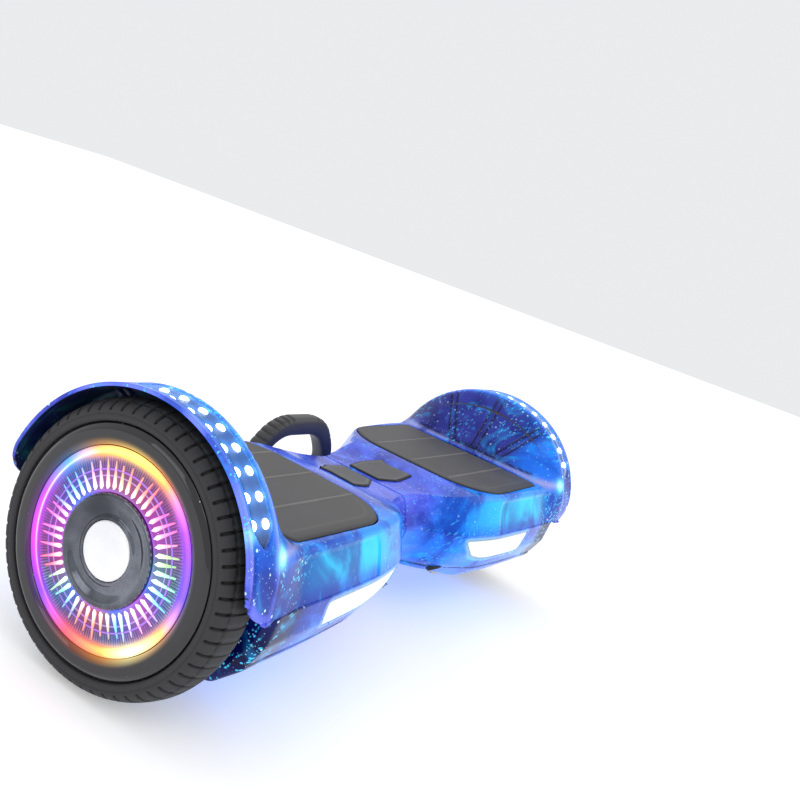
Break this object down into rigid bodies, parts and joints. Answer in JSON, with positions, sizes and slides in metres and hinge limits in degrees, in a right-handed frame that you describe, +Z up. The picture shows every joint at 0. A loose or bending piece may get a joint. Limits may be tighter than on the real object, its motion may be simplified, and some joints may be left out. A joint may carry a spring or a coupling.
{
  "type": "self-balancing hoverboard",
  "caption": "Self-balancing board: two shell platforms that twist on a centre shaft, hub-motor wheels under lit fenders, rubber foot pads, headlights and a rear carry handle.",
  "frame": {"origin": "on the floor under the middle of the board, midway between the wheels and below the axle line", "axes": "+X along the axle and pivot line towards the right-hand wheel, +Y to the rear (the carry handle's side), +Z up"},
  "size_m": [0.584, 0.186, 0.178],
  "materials": {
    "printed_shell": "glossy, printed with a blue star-field pattern",
    "cast_frame": "die cast, satin",
    "tinted_window": "tinted, glossy",
    "light_board": "white circuit board with lamps",
    "clear_lens": "frosted clear",
    "steel": "bright steel",
    "motor_core": "laminated core with copper windings",
    "circuit_board": "green circuit board",
    "grip_rubber": "matte grip rubber",
    "tyre": "matte solid rubber",
    "cast_rim": "black painted casting",
    "magnets": "nickel plated",
    "gloss_black": "glossy black",
    "ring_glass": "mirror-backed clear ring",
    "bright_cap": "chromed, with a plain centre",
    "black_plastic": "fine-grained black",
    "battery_wrap": "shrink-wrapped pack",
    "bush_plastic": "self-lubricating plastic"
  },
  "bodies": {
    "left_half": {"left_chassis": "cast_frame", "left_upper_shell": "printed_shell", "left_lower_shell": "printed_shell", "left_fender_window": "tinted_window", "left_fender_lights": "light_board", "left_headlight_lens": "clear_lens", "left_headlight_board": "light_board", "left_axle": "steel", "left_stator": "motor_core", "left_axle_clamp": "cast_frame", "left_sensor_board": "circuit_board", "left_centre_pad": "grip_rubber", "left_clamp_screws": "steel", "left_shell_screws": "steel", "pivot_shaft": "steel", "carry_handle": "black_plastic", "handle_screws": "steel", "battery_pack": "battery_wrap"},
    "right_half": {"right_chassis": "cast_frame", "right_upper_shell": "printed_shell", "right_lower_shell": "printed_shell", "right_fender_window": "tinted_window", "right_fender_lights": "light_board", "right_headlight_lens": "clear_lens", "right_headlight_board": "light_board", "right_axle": "steel", "right_stator": "motor_core", "right_axle_clamp": "cast_frame", "right_sensor_board": "circuit_board", "right_centre_pad": "grip_rubber", "right_clamp_screws": "steel", "right_shell_screws": "steel", "pivot_bushes": "bush_plastic", "pivot_circlip": "steel", "main_board": "circuit_board", "power_switch": "black_plastic", "charge_socket": "black_plastic"},
    "left_wheel": {"left_tyre": "tyre", "left_motor_rim": "cast_rim", "left_motor_cover": "cast_rim", "left_magnet_ring": "magnets", "left_wheel_bearings": "steel", "left_hub_cover": "gloss_black", "left_light_ring": "ring_glass", "left_hub_cap": "bright_cap"},
    "right_wheel": {"right_tyre": "tyre", "right_motor_rim": "cast_rim", "right_motor_cover": "cast_rim", "right_magnet_ring": "magnets", "right_wheel_bearings": "steel", "right_hub_cover": "gloss_black", "right_light_ring": "ring_glass", "right_hub_cap": "bright_cap"},
    "left_pad": {"left_foot_pad": "grip_rubber", "left_pad_plungers": "black_plastic"},
    "right_pad": {"right_foot_pad": "grip_rubber", "right_pad_plungers": "black_plastic"},
    "power_button": {"power_button": "black_plastic"}
  },
  "joints": [
    {"name": "twist", "type": "hinge", "parent": "left_half", "child": "right_half", "pos_m": [0, 0, 0.085], "axis": [1, 0, 0], "range_deg": [-12, 12]},
    {"name": "left_wheel_spin", "type": "hinge", "parent": "left_half", "child": "left_wheel", "pos_m": [-0.27, 0, 0.085], "axis": [1, 0, 0], "continuous": true},
    {"name": "right_wheel_spin", "type": "hinge", "parent": "right_half", "child": "right_wheel", "pos_m": [0.27, 0, 0.085], "axis": [1, 0, 0], "continuous": true},
    {"name": "left_pad_press", "type": "slide", "parent": "left_half", "child": "left_pad", "axis": [0, 0, -1], "range_m": [0, 0.0015], "stiffness_N_per_m": 8000},
    {"name": "right_pad_press", "type": "slide", "parent": "right_half", "child": "right_pad", "axis": [0, 0, -1], "range_m": [0, 0.0015], "stiffness_N_per_m": 8000},
    {"name": "power_press", "type": "slide", "parent": "right_half", "child": "power_button", "axis": [0, 0.6079, 0.794], "range_m": [0, 0.001], "stiffness_N_per_m": 400}
  ]
}
